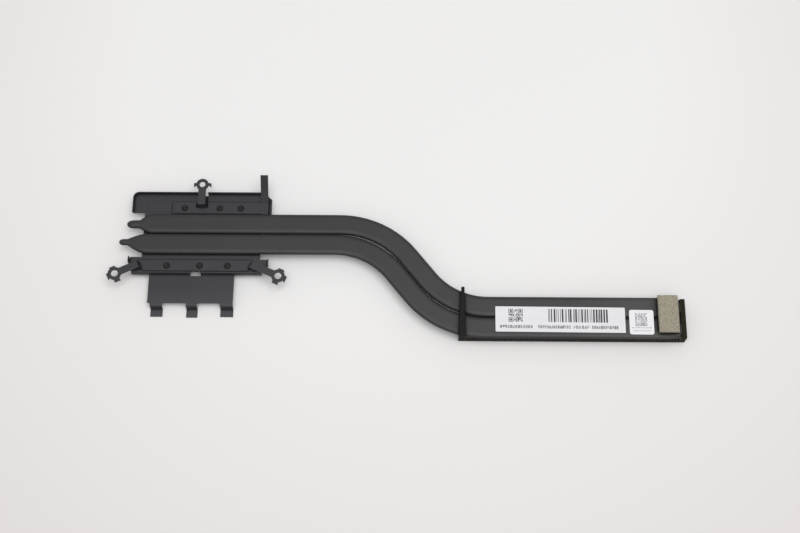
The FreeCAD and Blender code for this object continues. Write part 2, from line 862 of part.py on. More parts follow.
def rear_tray_pad():
    """Foam pad that closes the arm's slot from below."""
    x0 = rear_hole[0] + arm_slot_right + rear_pad_overlap - rear_pad_length
    y1 = tray_rear_y - rear_pad_margin
    low = plate_bottom - pad_thickness
    return box(x0, x0 + rear_pad_length, y1 - rear_pad_width, y1, low, plate_bottom)


def main_label():
    return label(main_label_x, main_label_front_y, main_label_length, main_label_width)


def small_label():
    return label(small_label_x, small_label_front_y, small_label_length, small_label_width)


def main():
    os.makedirs("parts", exist_ok=True)
    save(contact_block(), "contact_block")
    save(base_plate(), "base_plate")
    save(rear_pipe(), "rear_heat_pipe")
    save(front_pipe(), "front_heat_pipe")
    save(rear_spring(), "rear_spring")
    save(front_spring(), "front_spring")
    for i, x in enumerate(rear_rivet_x):
        save(rivet(x, rear_rivet_y), "rear_rivet_" + str(i + 1))
    for i, x in enumerate(front_rivet_x):
        save(rivet(x, front_rivet_y), "front_rivet_" + str(i + 1))
    save(fin_stack(), "fin_stack")
    save(left_seal(), "left_seal")
    save(end_seal(), "end_seal")
    save(gasket(), "emi_gasket")
    save(main_label(), "main_label")
    save(small_label(), "small_label")
    save(hook_plate_pad(), "hook_plate_pad")
    save(rear_tray_pad(), "rear_tray_pad")


main()
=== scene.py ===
import json
import math
import random

import bmesh
import bpy
from mathutils import Matrix, Vector, noise


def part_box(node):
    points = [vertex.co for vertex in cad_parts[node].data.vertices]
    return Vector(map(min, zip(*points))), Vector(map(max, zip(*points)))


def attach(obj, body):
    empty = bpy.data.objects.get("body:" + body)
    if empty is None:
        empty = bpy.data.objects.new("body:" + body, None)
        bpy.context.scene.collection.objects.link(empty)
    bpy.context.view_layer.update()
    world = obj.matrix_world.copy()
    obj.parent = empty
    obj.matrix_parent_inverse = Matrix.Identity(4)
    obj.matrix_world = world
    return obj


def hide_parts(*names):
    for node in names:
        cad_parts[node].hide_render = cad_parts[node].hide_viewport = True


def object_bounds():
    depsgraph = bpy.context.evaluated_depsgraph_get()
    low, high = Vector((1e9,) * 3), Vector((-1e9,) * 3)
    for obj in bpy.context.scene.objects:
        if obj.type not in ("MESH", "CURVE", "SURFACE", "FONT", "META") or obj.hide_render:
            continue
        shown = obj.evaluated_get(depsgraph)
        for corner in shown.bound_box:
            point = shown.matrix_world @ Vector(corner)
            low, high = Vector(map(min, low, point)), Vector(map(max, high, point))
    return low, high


# Laptop heatsink seen from above and a little from the front, on a pale table.
# Metres, in the part's own frame. The record's nodes give the places.

MM = 0.001

# Camera: the photograph's frame in pixels, and its viewing angle
IMAGE_WIDTH = 800
FOCAL_PIXELS = 1332.0
SENSOR_MM = 36.0
CAMERA_AIM = Vector((81.95, -14.02, 5.0)) * MM
CAMERA_DISTANCE = 541.0 * MM
CAMERA_TILT = math.radians(20.0)
CAMERA_ROLL = math.radians(0.35)
CLIP_START = 0.01
CLIP_END = 20.0

# Floor: even round its middle, then a little darker out to its reach, as painted shade where
# the light falls off
FLOOR_SIZE = 6.0
FLOOR_MIDDLE = Vector((80.0, 90.0)) * MM
FLOOR_REACH = 270.0 * MM
FLOOR_EVEN_SHARE = 0.42
FLOOR_COLOUR = (0.832, 0.829, 0.829)
FLOOR_FALLOFF_SHADE = (0.724, 0.695, 0.69)

# Light: one softbox over the part, and a pale world
SOFTBOX_LENGTH = 1.35
SOFTBOX_WIDTH = 1.2
SOFTBOX_PLACE = Vector((0.25, -0.22, 1.6))
SOFTBOX_AIM = Vector((0.1, 0.0, 0.0))
SOFTBOX_POWER = 17.3
BACKGROUND_COLOUR = (0.84, 0.83, 0.82)
WORLD_STRENGTH = 0.6

# Colours, each pair from dark to light
SHEET_COLOURS = ((0.0095, 0.009, 0.0135), (0.0135, 0.013, 0.018))
PIPE_COLOURS = ((0.0115, 0.0118, 0.0142), (0.0162, 0.0165, 0.0192))
# Rivet paint darker than the sheet's, as painted shade on the heads
RIVET_SHADED_COLOURS = ((0.007, 0.007, 0.0075), (0.011, 0.011, 0.0115))
FIN_COLOURS = ((0.07, 0.065, 0.058), (0.085, 0.079, 0.071))
COPPER_COLOURS = ((0.62, 0.26, 0.14), (0.78, 0.39, 0.23))
FOAM_COLOURS = ((0.008, 0.0077, 0.0077), (0.018, 0.0173, 0.017))
END_FOAM_COLOURS = ((0.0095, 0.0095, 0.0052), (0.022, 0.022, 0.0125))
THERMAL_PAD_COLOURS = ((0.33, 0.36, 0.41), (0.39, 0.42, 0.47))
CLOTH_COLOURS = ((0.172, 0.152, 0.112), (0.393, 0.359, 0.278))
PAPER_COLOURS = ((0.705, 0.7, 0.727), (0.735, 0.73, 0.757))
PALE_PAPER_COLOURS = ((0.75, 0.747, 0.775), (0.78, 0.777, 0.805))
INK_COLOURS = ((0.032, 0.031, 0.034), (0.046, 0.045, 0.049))
FAINT_INK_COLOURS = ((0.27, 0.27, 0.285), (0.32, 0.32, 0.335))

# Painted light and shade along an axis: where it starts and ends on it in millimetres, and the
# colour there
# Sheet paint lighter and bluer towards the front: painted highlight on the hook plate and feet
FOOT_PAINTED_HIGHLIGHT = ("Y", -22.0, -42.0, (0.043, 0.040, 0.049))
# Pipe paint lighter towards the pipes' right ends: painted highlight
PIPE_PAINTED_HIGHLIGHT = ("X", 150.0, 180.0, (0.034, 0.033, 0.0325))

# Painted shade on the rear spring's sloping tab: where it starts over the spring's lowest face,
# clear of the screw ring, and how soon it is full, in millimetres
TAB_START = 3.0
TAB_LENGTH = 1.5
TAB_PAINTED_SHADE = (0.003, 0.003, 0.003)

# Paint: noise scales are per millimetre
CLOUD_SCALE = 0.11
CLOUD_STOPS = (0.3, 0.7)
SHEEN_SCALE = 0.35
SHEEN_SPREAD = 0.06
GRAIN_STRENGTH = 0.35
NOISE_ROUGHNESS = 0.6

# Edges of the paint, in millimetres: rounded and paler on sheet metal, partly as wear and
# partly as painted highlight, and softly rounded on pipes.
# An edge starts and is full where the rounded and the flat normal agree by these shares.
EDGE_RADIUS = 0.2
PIPE_CROWN = 1.2
EDGE_START = 0.97
EDGE_FULL = 0.8
RUBBED_AND_HIGHLIGHT_COLOUR = (0.045, 0.044, 0.048)

# Creases, with painted shade and rougher: how far round they look, in millimetres, and the open
# share of the surroundings where they start and are full
CREASE_REACH = 0.9
PIPE_CREASE_REACH = 10.0
CREASE_SAMPLES = 8
CREASE_OPEN = 0.97
CREASE_CLOSED = 0.65
CREASE_PAINTED_SHADE = (0.001, 0.001, 0.001)
CREASE_ROUGHNESS = 1.0

# Copper block: heights in millimetres between which the bare metal turns to paint, and
# the stretch of its machined lines
PAINT_LINE_START = 0.9
PAINT_LINE_END = 1.2
LINE_STRETCH = (0.06, 6.0, 1.0)
LINE_SCALE = 2.0
BARE_ROUGHNESS = 0.32
PAINTED_ROUGHNESS = 0.55
PAINTED_COLOUR = (0.012, 0.012, 0.0125)

# Cloth and foam
MOTTLE_SCALE = 1.5
MOTTLE_STOPS = (0.34, 0.66)
WEAVE_SCALE = 1.3
PORE_SCALE = 4.5
PORE_STOPS = (0.1, 0.6)

# Rivet heads: (radius, height over the foot) in millimetres, from the foot outwards and
# over the rim to the middle of the dish
RIVET_PROFILE = [
    (0.7, 0.0),
    (0.72, 0.4),
    (1.16, 0.4),
    (1.26, 0.43),
    (1.28, 0.5),
    (1.2, 0.6),
    (1.06, 0.72),
    (0.98, 0.75),
    (0.88, 0.74),
    (0.78, 0.66),
    (0.66, 0.55),
    (0.56, 0.52),
    (0.42, 0.545),
    (0.22, 0.575),
    (0.0, 0.585),
]
RIVET_SIDES = 40
RIVETS_IN_ROW = 3

# Label paper, in millimetres
LABEL_TURN = math.radians(-0.3)
LABEL_BEVEL = 0.03
LABEL_DIP = 0.05
LABEL_DIP_REACH = 1.2
MAIN_LABEL_CORNER = 0.35
SMALL_LABEL_CORNER = 0.9
INK_HEIGHT = 0.012
LABEL_COLUMNS = 60
LABEL_FLAT_ROWS = 16
LABEL_CORNER_ROWS = 6

# Label print: spans are u0, u1, v0, v1 as shares of the label's length and width
MAIN_MATRIX_SPAN = (0.1015, 0.2105, 0.393, 0.902)
MAIN_MATRIX_CELLS = 21
MATRIX_SEED = 11
STRIPES_SPAN = (0.408, 0.874, 0.393, 0.915)
STRIPE_MODULES = 112
STRIPE_SEED = 23
SMALL_MATRIX_SPAN = (0.247, 0.738, 0.34, 0.87)
SMALL_MATRIX_CELLS = 18
SMALL_SEED = 53
DARK_CELL_CHANCE = 0.5
CORNER_SQUARE_CELLS = 7
STRIPE_WIDTHS = (1, 1, 1, 2, 3)
STRIPE_GAPS = (1, 2, 2, 3)

# Lines of dashes: their span, the number of marks, and how each mark's two strokes differ
MAIN_DASHES = (
    ((0.034, 0.289, 0.14, 0.265), 13),
    ((0.327, 0.579, 0.14, 0.265), 15),
    ((0.598, 0.726, 0.14, 0.265), 6),
    ((0.741, 0.946, 0.14, 0.265), 12),
)
SMALL_DASHES = (
    ((0.1, 0.92, 0.25, 0.3), 18),
    ((0.15, 0.86, 0.125, 0.175), 16),
)
DASH_SEED = 37
STROKE_STARTS = (0.08, 0.5)
STROKE_WIDTHS = (0.18, 0.32)
STROKE_HEIGHTS = (1.0, 1.0, 1.0, 0.7)
STROKE_LIFTS = (0.0, 0.0, 1.0)

# Soft pieces: name, node, material, slot, voxel, depth and size of the grain in
# millimetres, and fill
SOFT_PIECES = (
    ("left_seal_foam", "left_seal", "foam", "foam", 0.2, 0.07, 0.5, 0.9),
    ("end_seal_foam", "end_seal", "end_foam", "foam", 0.2, 0.07, 0.5, 0.9),
    ("rear_tray_foam", "rear_tray_pad", "foam", "foam", 0.3, 0.07, 0.6, 0.9),
    ("hook_plate_thermal_pad", "hook_plate_pad", "thermal_pad", "thermal_pad", 0.3, 0.04, 1.5, 1.0),
    ("gasket_cloth", "emi_gasket", "conductive_cloth", "conductive_cloth", 0.2, 0.05, 1.2, 0.9),
)
WELD_REACH = 0.001 * MM
GRAIN_MEAN = 0.5
GRAIN_COARSE_SHARE = 0.2
GRAIN_FINE_SHARE = 0.3
GRAIN_COARSE_SIZE = 4

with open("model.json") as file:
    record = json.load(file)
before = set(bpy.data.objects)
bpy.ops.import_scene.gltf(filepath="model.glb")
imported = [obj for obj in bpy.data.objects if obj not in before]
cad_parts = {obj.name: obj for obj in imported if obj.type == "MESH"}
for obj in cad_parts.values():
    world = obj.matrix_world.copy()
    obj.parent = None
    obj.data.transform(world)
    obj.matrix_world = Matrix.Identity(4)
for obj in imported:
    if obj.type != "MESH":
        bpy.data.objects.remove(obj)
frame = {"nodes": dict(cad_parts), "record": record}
cad_box = [list(corner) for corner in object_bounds()]
nodes = frame["nodes"]


# Shader building blocks


def new_material(name, roughness, specular=0.5):
    """Material with a Principled shader, and handles to its tree."""
    material = bpy.data.materials.new(name)
    material.use_nodes = True
    tree = material.node_tree
    shader = tree.nodes["Principled BSDF"]
    shader.inputs["Roughness"].default_value = roughness
    shader.inputs["Specular IOR Level"].default_value = specular
    return material, tree, shader


def add_node(tree, kind, **values):
    """Shader node with its input sockets set by name."""
    node = tree.nodes.new(kind)
    for socket, value in values.items():
        node.inputs[socket.replace("_", " ")].default_value = value
    return node


def calculate(tree, operation, first, second):
    """Output of a math node on two outputs."""
    node = tree.nodes.new("ShaderNodeMath")
    node.operation = operation
    tree.links.new(first, node.inputs[0])
    tree.links.new(second, node.inputs[1])
    return node.outputs["Value"]


def object_coordinates(tree, scale=(1.0, 1.0, 1.0)):
    """Object coordinates in millimetres, stretched by scale."""
    coordinates = tree.nodes.new("ShaderNodeTexCoord")
    mapping = tree.nodes.new("ShaderNodeMapping")
    mapping.inputs["Scale"].default_value = [s / MM for s in scale]
    tree.links.new(coordinates.outputs["Object"], mapping.inputs["Vector"])
    return mapping.outputs["Vector"]


def noise_field(tree, vector, scale, detail, roughness=NOISE_ROUGHNESS):
    """Output of a noise, from 0 to 1."""
    node = add_node(tree, "ShaderNodeTexNoise", Scale=scale, Detail=detail, Roughness=roughness)
    tree.links.new(vector, node.inputs["Vector"])
    return node.outputs["Fac"]


def ramp(tree, factor, stops):
    """Colour ramp with stops of (position, colour)."""
    node = tree.nodes.new("ShaderNodeValToRGB")
    elements = node.color_ramp.elements
    for element, (position, colour) in zip(elements, stops):
        element.position = position
        element.color = (*colour, 1.0)
    tree.links.new(factor, node.inputs["Fac"])
    return node.outputs["Color"]


def map_range(tree, factor, low, high, from_low=0.0, from_high=1.0):
    """Factor taken from one range to another, and kept within it."""
    node = add_node(tree, "ShaderNodeMapRange")
    node.inputs["From Min"].default_value = from_low
    node.inputs["From Max"].default_value = from_high
    node.inputs["To Min"].default_value = low
    node.inputs["To Max"].default_value = high
    tree.links.new(factor, node.inputs["Value"])
    return node.outputs["Result"]


def mix_colours(tree, factor, first, second):
    """Colour that goes from first, an output, to second, a plain colour, with factor."""
    node = tree.nodes.new("ShaderNodeMix")
    node.data_type = "RGBA"
    tree.links.new(factor, node.inputs["Factor"])
    sockets = [s for s in node.inputs if s.type == "RGBA"]
    tree.links.new(first, sockets[0])
    sockets[1].default_value = (*second, 1.0)
    return [s for s in node.outputs if s.type == "RGBA"][0]


def mix_numbers(tree, factor, first, second):
    """Number that goes from first, an output, to second, a plain number, with factor."""
    node = tree.nodes.new("ShaderNodeMix")
    node.data_type = "FLOAT"
    tree.links.new(factor, node.inputs["Factor"])
    sockets = [s for s in node.inputs if s.type == "VALUE" and s.name in ("A", "B")]
    tree.links.new(first, sockets[0])
    sockets[1].default_value = second
    return [s for s in node.outputs if s.type == "VALUE"][0]


def bump(tree, shader, height, strength, distance, edge=0.0):
    """Bump over the surface, with its sharp edges rounded to a radius of edge millimetres."""
    node = add_node(tree, "ShaderNodeBump", Strength=strength, Distance=distance)
    tree.links.new(height, node.inputs["Height"])
    if edge > 0:
        rounded = add_node(tree, "ShaderNodeBevel", Radius=edge * MM)
        tree.links.new(rounded.outputs["Normal"], node.inputs["Normal"])
    tree.links.new(node.outputs["Normal"], shader.inputs["Normal"])


def axis_share(tree, vector, axis, start, end):
    """0 up to start and 1 past end along an object axis, in millimetres."""
    split = tree.nodes.new("ShaderNodeSeparateXYZ")
    tree.links.new(vector, split.inputs["Vector"])
    return map_range(tree, split.outputs[axis], 0.0, 1.0, start, end)


def edge_share(tree, radius):
    """1 at a sharp edge and 0 beyond about a radius, in millimetres, from it."""
    rounded = add_node(tree, "ShaderNodeBevel", Radius=radius * MM)
    surface = tree.nodes.new("ShaderNodeNewGeometry")
    match = tree.nodes.new("ShaderNodeVectorMath")
    match.operation = "DOT_PRODUCT"
    tree.links.new(rounded.outputs["Normal"], match.inputs[0])
    tree.links.new(surface.outputs["True Normal"], match.inputs[1])
    return map_range(tree, match.outputs["Value"], 0.0, 1.0, EDGE_START, EDGE_FULL)


def crease_share(tree, reach):
    """1 in a crease and 0 where nothing stands within a reach in millimetres."""
    cover = add_node(tree, "ShaderNodeAmbientOcclusion", Distance=reach * MM)
    cover.samples = CREASE_SAMPLES
    return map_range(tree, cover.outputs["AO"], 0.0, 1.0, CREASE_OPEN, CREASE_CLOSED)


# Materials


def paint(
    name,
    colours,
    roughness,
    specular,
    grain_scale,
    grain_height,
    edge=0.0,
    rubbed_and_lit=False,
    fade=None,
    crease=0.0,
):
    """Baked paint: even colour with faint clouds, a fine orange peel and uneven sheen.

    edge is the rounding of sharp edges, which the flag after it makes paler, partly as wear
    and partly as painted highlight, and crease the reach of the painted shade in creases, both
    in millimetres. fade gives an axis, where painted light or shade starts on it and where it
    is full, in millimetres, and that colour.
    """
    material, tree, shader = new_material(name, roughness, specular)
    vector = object_coordinates(tree)
    clouds = noise_field(tree, vector, CLOUD_SCALE, detail=3.0, roughness=0.55)
    colour = ramp(tree, clouds, list(zip(CLOUD_STOPS, colours)))
    if fade:
        axis, start, end, changed = fade
        colour = mix_colours(tree, axis_share(tree, vector, axis, start, end), colour, changed)
    patches = noise_field(tree, vector, SHEEN_SCALE, detail=5.0)
    sheen = map_range(tree, patches, roughness - SHEEN_SPREAD, roughness + SHEEN_SPREAD)
    # Painted shade where something stands close by, which is also rougher there
    if crease:
        creased = crease_share(tree, crease)
        colour = mix_colours(tree, creased, colour, CREASE_PAINTED_SHADE)
        sheen = mix_numbers(tree, creased, sheen, CREASE_ROUGHNESS)
    # Paler sharp edges: partly wear, partly painted highlight
    if rubbed_and_lit:
        colour = mix_colours(tree, edge_share(tree, edge), colour, RUBBED_AND_HIGHLIGHT_COLOUR)
    tree.links.new(colour, shader.inputs["Base Color"])
    tree.links.new(sheen, shader.inputs["Roughness"])
    grain = noise_field(tree, vector, grain_scale, detail=6.0)
    bump(tree, shader, grain, GRAIN_STRENGTH, grain_height, edge)
    return material


def sheet_metal(name, fade):
    """Painted steel of the base plate and the spring brackets."""
    return paint(
        name,
        SHEET_COLOURS,
        roughness=0.47,
        specular=0.46,
        grain_scale=5.0,
        grain_height=4e-6,
        edge=EDGE_RADIUS,
        rubbed_and_lit=True,
        fade=fade,
        crease=CREASE_REACH,
    )


def heat_pipe():
    """Painted copper tube, its flat faces crowned towards their sides."""
    return paint(
        "black_pipe",
        PIPE_COLOURS,
        roughness=0.44,
        specular=0.42,
        grain_scale=2.6,
        grain_height=5e-6,
        edge=PIPE_CROWN,
        # Painted highlight towards the right ends, painted shade near anything close by
        fade=PIPE_PAINTED_HIGHLIGHT,
        crease=PIPE_CREASE_REACH,
    )


def rivet():
    """Painted rivet heads, darker than the sheet paint as painted shade."""
    return paint(
        "black_rivet",
        RIVET_SHADED_COLOURS,
        roughness=0.42,
        specular=0.2,
        grain_scale=6.0,
        grain_height=3e-6,
    )


def fin():
    """Dull blackened aluminium."""
    return paint(
        "black_fin",
        FIN_COLOURS,
        roughness=0.85,
        specular=0.02,
        grain_scale=4.0,
        grain_height=4e-6,
    )


def paper(name, colours):
    """Smooth label paper."""
    return paint(name, colours, roughness=0.42, specular=0.4, grain_scale=4.0, grain_height=2e-6)


def ink(name, colours):
    """Printed ink."""
    return paint(name, colours, roughness=0.6, specular=0.3, grain_scale=4.0, grain_height=1e-6)


def copper_block():
    """Bare machined copper below the paint line, black paint above it."""
    material, tree, shader = new_material("copper", BARE_ROUGHNESS)
    vector = object_coordinates(tree)
    painted = axis_share(tree, vector, "Z", PAINT_LINE_START, PAINT_LINE_END)
    lines = noise_field(tree, object_coordinates(tree, LINE_STRETCH), LINE_SCALE, detail=5.0)
    bare = ramp(tree, lines, list(zip(CLOUD_STOPS, COPPER_COLOURS)))
    colour = mix_colours(tree, painted, bare, PAINTED_COLOUR)
    tree.links.new(colour, shader.inputs["Base Color"])
    tree.links.new(map_range(tree, painted, 1.0, 0.0), shader.inputs["Metallic"])
    roughness = map_range(tree, painted, BARE_ROUGHNESS, PAINTED_ROUGHNESS)
    tree.links.new(roughness, shader.inputs["Roughness"])
    bump(tree, shader, lines, strength=0.3, distance=3e-6)
    return material


def cloth(name, colours):
    """Plated woven gasket cloth: mottled beige with a fine crossing weave."""
    material, tree, shader = new_material(name, roughness=0.62, specular=0.4)
    vector = object_coordinates(tree)
    mottle = noise_field(tree, vector, MOTTLE_SCALE, detail=6.0, roughness=0.72)
    colour = ramp(tree, mottle, list(zip(MOTTLE_STOPS, colours)))
    tree.links.new(colour, shader.inputs["Base Color"])
    threads = []
    for axis in ("X", "Y"):
        wave = add_node(tree, "ShaderNodeTexWave", Scale=WEAVE_SCALE, Distortion=0.6)
        wave.bands_direction = axis
        tree.links.new(vector, wave.inputs["Vector"])
        threads.append(wave.outputs["Fac"])
    weave = calculate(tree, "MULTIPLY", *threads)
    bump(tree, shader, weave, strength=0.5, distance=2e-5)
    return material


def foam(name, colours, roughness=0.95):
    """Open-cell foam: matte, with small pores."""
    material, tree, shader = new_material(name, roughness, specular=0.15)
    cells = add_node(tree, "ShaderNodeTexVoronoi", Scale=PORE_SCALE)
    tree.links.new(object_coordinates(tree), cells.inputs["Vector"])
    colour = ramp(tree, cells.outputs["Distance"], list(zip(PORE_STOPS, colours)))
    tree.links.new(colour, shader.inputs["Base Color"])
    bump(tree, shader, cells.outputs["Distance"], strength=0.6, distance=4e-5)
    return material


def make_materials():
    # Painted shade on the rear spring's sloping tab
    tab_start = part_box("rear_spring")[0].z / MM + TAB_START
    tab_painted_shade = ("Z", tab_start, tab_start + TAB_LENGTH, TAB_PAINTED_SHADE)
    return {
        "black_sheet": sheet_metal("black_sheet", FOOT_PAINTED_HIGHLIGHT),
        "black_pipe": heat_pipe(),
        "black_spring": sheet_metal("black_spring", tab_painted_shade),
        "black_rivet": rivet(),
        "black_fin": fin(),
        "copper": copper_block(),
        "foam": foam("foam", FOAM_COLOURS),
        "end_foam": foam("end_foam", END_FOAM_COLOURS),
        "conductive_cloth": cloth("conductive_cloth", CLOTH_COLOURS),
        "label_paper": paper("label_paper", PAPER_COLOURS),
        "label_ink": ink("label_ink", INK_COLOURS),
        "pale_paper": paper("pale_paper", PALE_PAPER_COLOURS),
        "faint_ink": ink("faint_ink", FAINT_INK_COLOURS),
        "thermal_pad": foam("thermal_pad", THERMAL_PAD_COLOURS, roughness=0.75),
    }


def dress_nodes(materials):
    """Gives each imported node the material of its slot."""
    for row in frame["record"]["subparts"]:
        mesh = nodes[row["node"]].data
        mesh.materials.clear()
        mesh.materials.append(materials[row["material_slot"]])


# Pieces


def add_piece(name, mesh, material):
    """Object that rides on the part, in its own material."""
    piece = bpy.data.objects.new(name, mesh)
    bpy.context.scene.collection.objects.link(piece)
    mesh.materials.clear()
    mesh.materials.append(material)
    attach(piece, "root")
    return piece


def mesh_from(name, bm, smooth=True):
    """Mesh made from bm, which is freed, with its faces turned outwards."""
    bmesh.ops.recalc_face_normals(bm, faces=bm.faces)
    mesh = bpy.data.meshes.new(name)
    bm.to_mesh(mesh)
    bm.free()
    for face in mesh.polygons:
        face.use_smooth = smooth
    return mesh


# Rivets


def node_middle(node):
    """Middle of a node's box, at its lowest height."""
    low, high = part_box(node)
    return Vector(((low.x + high.x) / 2, (low.y + high.y) / 2, low.z))


def rivet_mesh(name, foot):
    """Pressed rivet: lathed shank, rounded head and a shallow dish."""
    bm = bmesh.new()
    rings = []
    for radius, height in RIVET_PROFILE:
        z = foot.z + height * MM
        if radius == 0.0:
            rings.append([bm.verts.new((foot.x, foot.y, z))])
            continue
        ring = []
        for i in range(RIVET_SIDES):
            angle = 2 * math.pi * i / RIVET_SIDES
            x = foot.x + radius * MM * math.cos(angle)
            y = foot.y + radius * MM * math.sin(angle)
            ring.append(bm.verts.new((x, y, z)))
        rings.append(ring)
    bm.faces.new(reversed(rings[0]))
    for lower, upper in zip(rings, rings[1:]):
        for i in range(RIVET_SIDES):
            j = (i + 1) % RIVET_SIDES
            if len(upper) == 1:
                bm.faces.new((lower[i], lower[j], upper[0]))
            else:
                bm.faces.new((lower[i], lower[j], upper[j], upper[i]))
    return mesh_from(name, bm)


def add_rivets(material):
    for row in ("rear", "front"):
        for i in range(RIVETS_IN_ROW):
            node = row + "_rivet_" + str(i + 1)
            mesh = rivet_mesh(node, node_middle(node))
            piece = add_piece("pressed_" + node, mesh, material)
            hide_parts(node)


# Labels


class Label:
    """Flat label on both pipes: its middle, size and turn, and its height at any place."""

    def __init__(self, node, corner):
        low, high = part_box(node)
        self.middle = Vector(((low.x + high.x) / 2, (low.y + high.y) / 2))
        self.half = Vector(((high.x - low.x) / 2, (high.y - low.y) / 2))
        self.bottom = low.z
        self.top = high.z
        self.corner = corner * MM
        self.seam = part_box("rear_heat_pipe")[0].y

    def place(self, x, y):
        """Turned place of a point given from the label's middle."""
        turn = Matrix.Rotation(LABEL_TURN, 2)
        return self.middle + turn @ Vector((x, y))

    def sink(self, y):
        """How far the paper sags into the valley between the pipes."""
        share = (y - self.seam) / (LABEL_DIP_REACH * MM)
        return LABEL_DIP * MM * math.exp(-share * share)

    def point(self, x, y, z):
        spot = self.place(x, y)
        return (spot.x, spot.y, z - self.sink(spot.y))

    def end(self, y):
        """Half length of the label at a height y, less in its rounded corners."""
        into = abs(y) - (self.half.y - self.corner)
        if into <= 0:
            return self.half.x
        return self.half.x - self.corner + math.sqrt(max(self.corner**2 - into**2, 0.0))

    def rows(self):
        """Heights across the label, closer together in its rounded corners."""
        straight = self.half.y - self.corner
        flat = [straight * (2 * i / LABEL_FLAT_ROWS - 1) for i in range(1, LABEL_FLAT_ROWS)]
        corner = []
        for i in range(LABEL_CORNER_ROWS + 1):
            turn = math.pi / 2 * i / LABEL_CORNER_ROWS
            corner.append(straight + self.corner * math.sin(turn))
        return [-y for y in reversed(corner)] + flat + corner


def label_grid(bm, label, z, inset):
    """Rows of vertices over the label at a height z, its outline drawn in by inset."""
    grid = []
    for y in label.rows():
        half = label.end(y) - inset
        y_in = y * (label.half.y - inset) / label.half.y
        row = []
        for i in range(LABEL_COLUMNS + 1):
            x = half * (2 * i / LABEL_COLUMNS - 1)
            row.append(bm.verts.new(label.point(x, y_in, z)))
        grid.append(row)
    return grid


def label_border(grid):
    """Edges round a grid of vertices, in order."""
    loop = list(grid[0])
    loop += [row[-1] for row in grid[1:]]
    loop += list(reversed(grid[-1]))[1:]
    loop += [row[0] for row in reversed(grid)][1:-1]
    return list(zip(loop, loop[1:] + loop[:1]))


def label_mesh(name, label):
    """Thin slab with rounded corners and a softened top edge that follows the pipes."""
    bm = bmesh.new()
    bevel = LABEL_BEVEL * MM
    layers = [
        label_grid(bm, label, label.bottom, 0.0),
        label_grid(bm, label, label.top - bevel, 0.0),
        label_grid(bm, label, label.top, bevel),
    ]
    for grid in (layers[0], layers[2]):
        for row, upper in zip(grid, grid[1:]):
            for i in range(LABEL_COLUMNS):
                bm.faces.new((row[i], row[i + 1], upper[i + 1], upper[i]))
    for lower, upper in zip(layers, layers[1:]):
        for low_edge, high_edge in zip(label_border(lower), label_border(upper)):
            bm.faces.new((low_edge[0], low_edge[1], high_edge[1], high_edge[0]))
    loose = [v for v in bm.verts if not v.link_faces]
    bmesh.ops.delete(bm, geom=loose, context="VERTS")
    return mesh_from(name, bm, smooth=False)


def add_block(bm, label, span):
    """Thin printed block on a span of the label."""
    u0, u1, v0, v1 = span
    xs = [label.half.x * (2 * u - 1) for u in (u0, u1)]
    ys = [label.half.y * (2 * v - 1) for v in (v0, v1)]
    corners = [(xs[0], ys[0]), (xs[1], ys[0]), (xs[1], ys[1]), (xs[0], ys[1])]
    low = [bm.verts.new(label.point(x, y, label.top - INK_HEIGHT * MM / 2)) for x, y in corners]
    high = [bm.verts.new(label.point(x, y, label.top + INK_HEIGHT * MM / 2)) for x, y in corners]
    bm.faces.new(high)
    bm.faces.new(reversed(low))
    for i in range(4):
        j = (i + 1) % 4
        bm.faces.new((low[i], low[j], high[j], high[i]))


def corner_square(column, row, cells):
    """Whether a cell in or round one of three corner squares is dark, or None elsewhere."""
    size = CORNER_SQUARE_CELLS
    last = cells - size
    for left, bottom in ((0, last), (last, last), (0, 0)):
        x = column - left
        y = row - bottom
        if -1 <= x <= size and -1 <= y <= size:
            ring = max(abs(x - size // 2), abs(y - size // 2))
            return ring in (0, 1, size // 2)
    return None


def matrix_cells(cells, seed, corners):
    """Rows of seeded dark and light cells, with corner squares or two dark edges."""
    chance = random.Random(seed)
    rows = []
    for row in range(cells):
        line = []
        for column in range(cells):
            dark = chance.random() < DARK_CELL_CHANCE
            if corners:
                fixed = corner_square(column, row, cells)
                if fixed is not None:
                    dark = fixed
            elif column == 0 or row == 0:
                dark = True
            line.append(dark)
        rows.append(line)
    return rows


def print_matrix(bm, label, span, cells, seed, corners):
    """Square of cells, with each run of dark cells in a row as one block."""
    u0, u1, v0, v1 = span
    for row, line in enumerate(matrix_cells(cells, seed, corners)):
        low = v0 + (v1 - v0) * row / cells
        start = None
        for column, dark in enumerate(line + [False]):
            if dark and start is None:
                start = column
            if not dark and start is not None:
                left = u0 + (u1 - u0) * start / cells
                right = u0 + (u1 - u0) * column / cells
                add_block(bm, label, (left, right, low, low + (v1 - v0) / cells))
                start = None


def print_stripes(bm, label, span, modules, seed):
    """Row of seeded upright stripes."""
    chance = random.Random(seed)
    u0, u1, v0, v1 = span
    step = (u1 - u0) / modules
    place = 0
    while place < modules:
        wide = min(chance.choice(STRIPE_WIDTHS), modules - place)
        add_block(bm, label, (u0 + place * step, u0 + (place + wide) * step, v0, v1))
        place += wide + chance.choice(STRIPE_GAPS)


def print_dashes(bm, label, span, count, seed):
    """Line of small uneven marks that spell nothing."""
    chance = random.Random(seed)
    u0, u1, v0, v1 = span
    step = (u1 - u0) / count
    for i in range(count):
        for part in STROKE_STARTS:
            wide = step * chance.uniform(*STROKE_WIDTHS)
            tall = (v1 - v0) * chance.choice(STROKE_HEIGHTS)
            low = v0 + (v1 - v0 - tall) * chance.choice(STROKE_LIFTS)
            start = u0 + (i + part) * step
            add_block(bm, label, (start, start + wide, low, low + tall))


def add_paper(node, label, material):
    name = node + "_paper"
    piece = add_piece(name, label_mesh(name, label), material)
    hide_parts(node)


def add_print(node, bm, material):
    name = node + "_print"
    add_piece(name, mesh_from(name, bm, smooth=False), material)


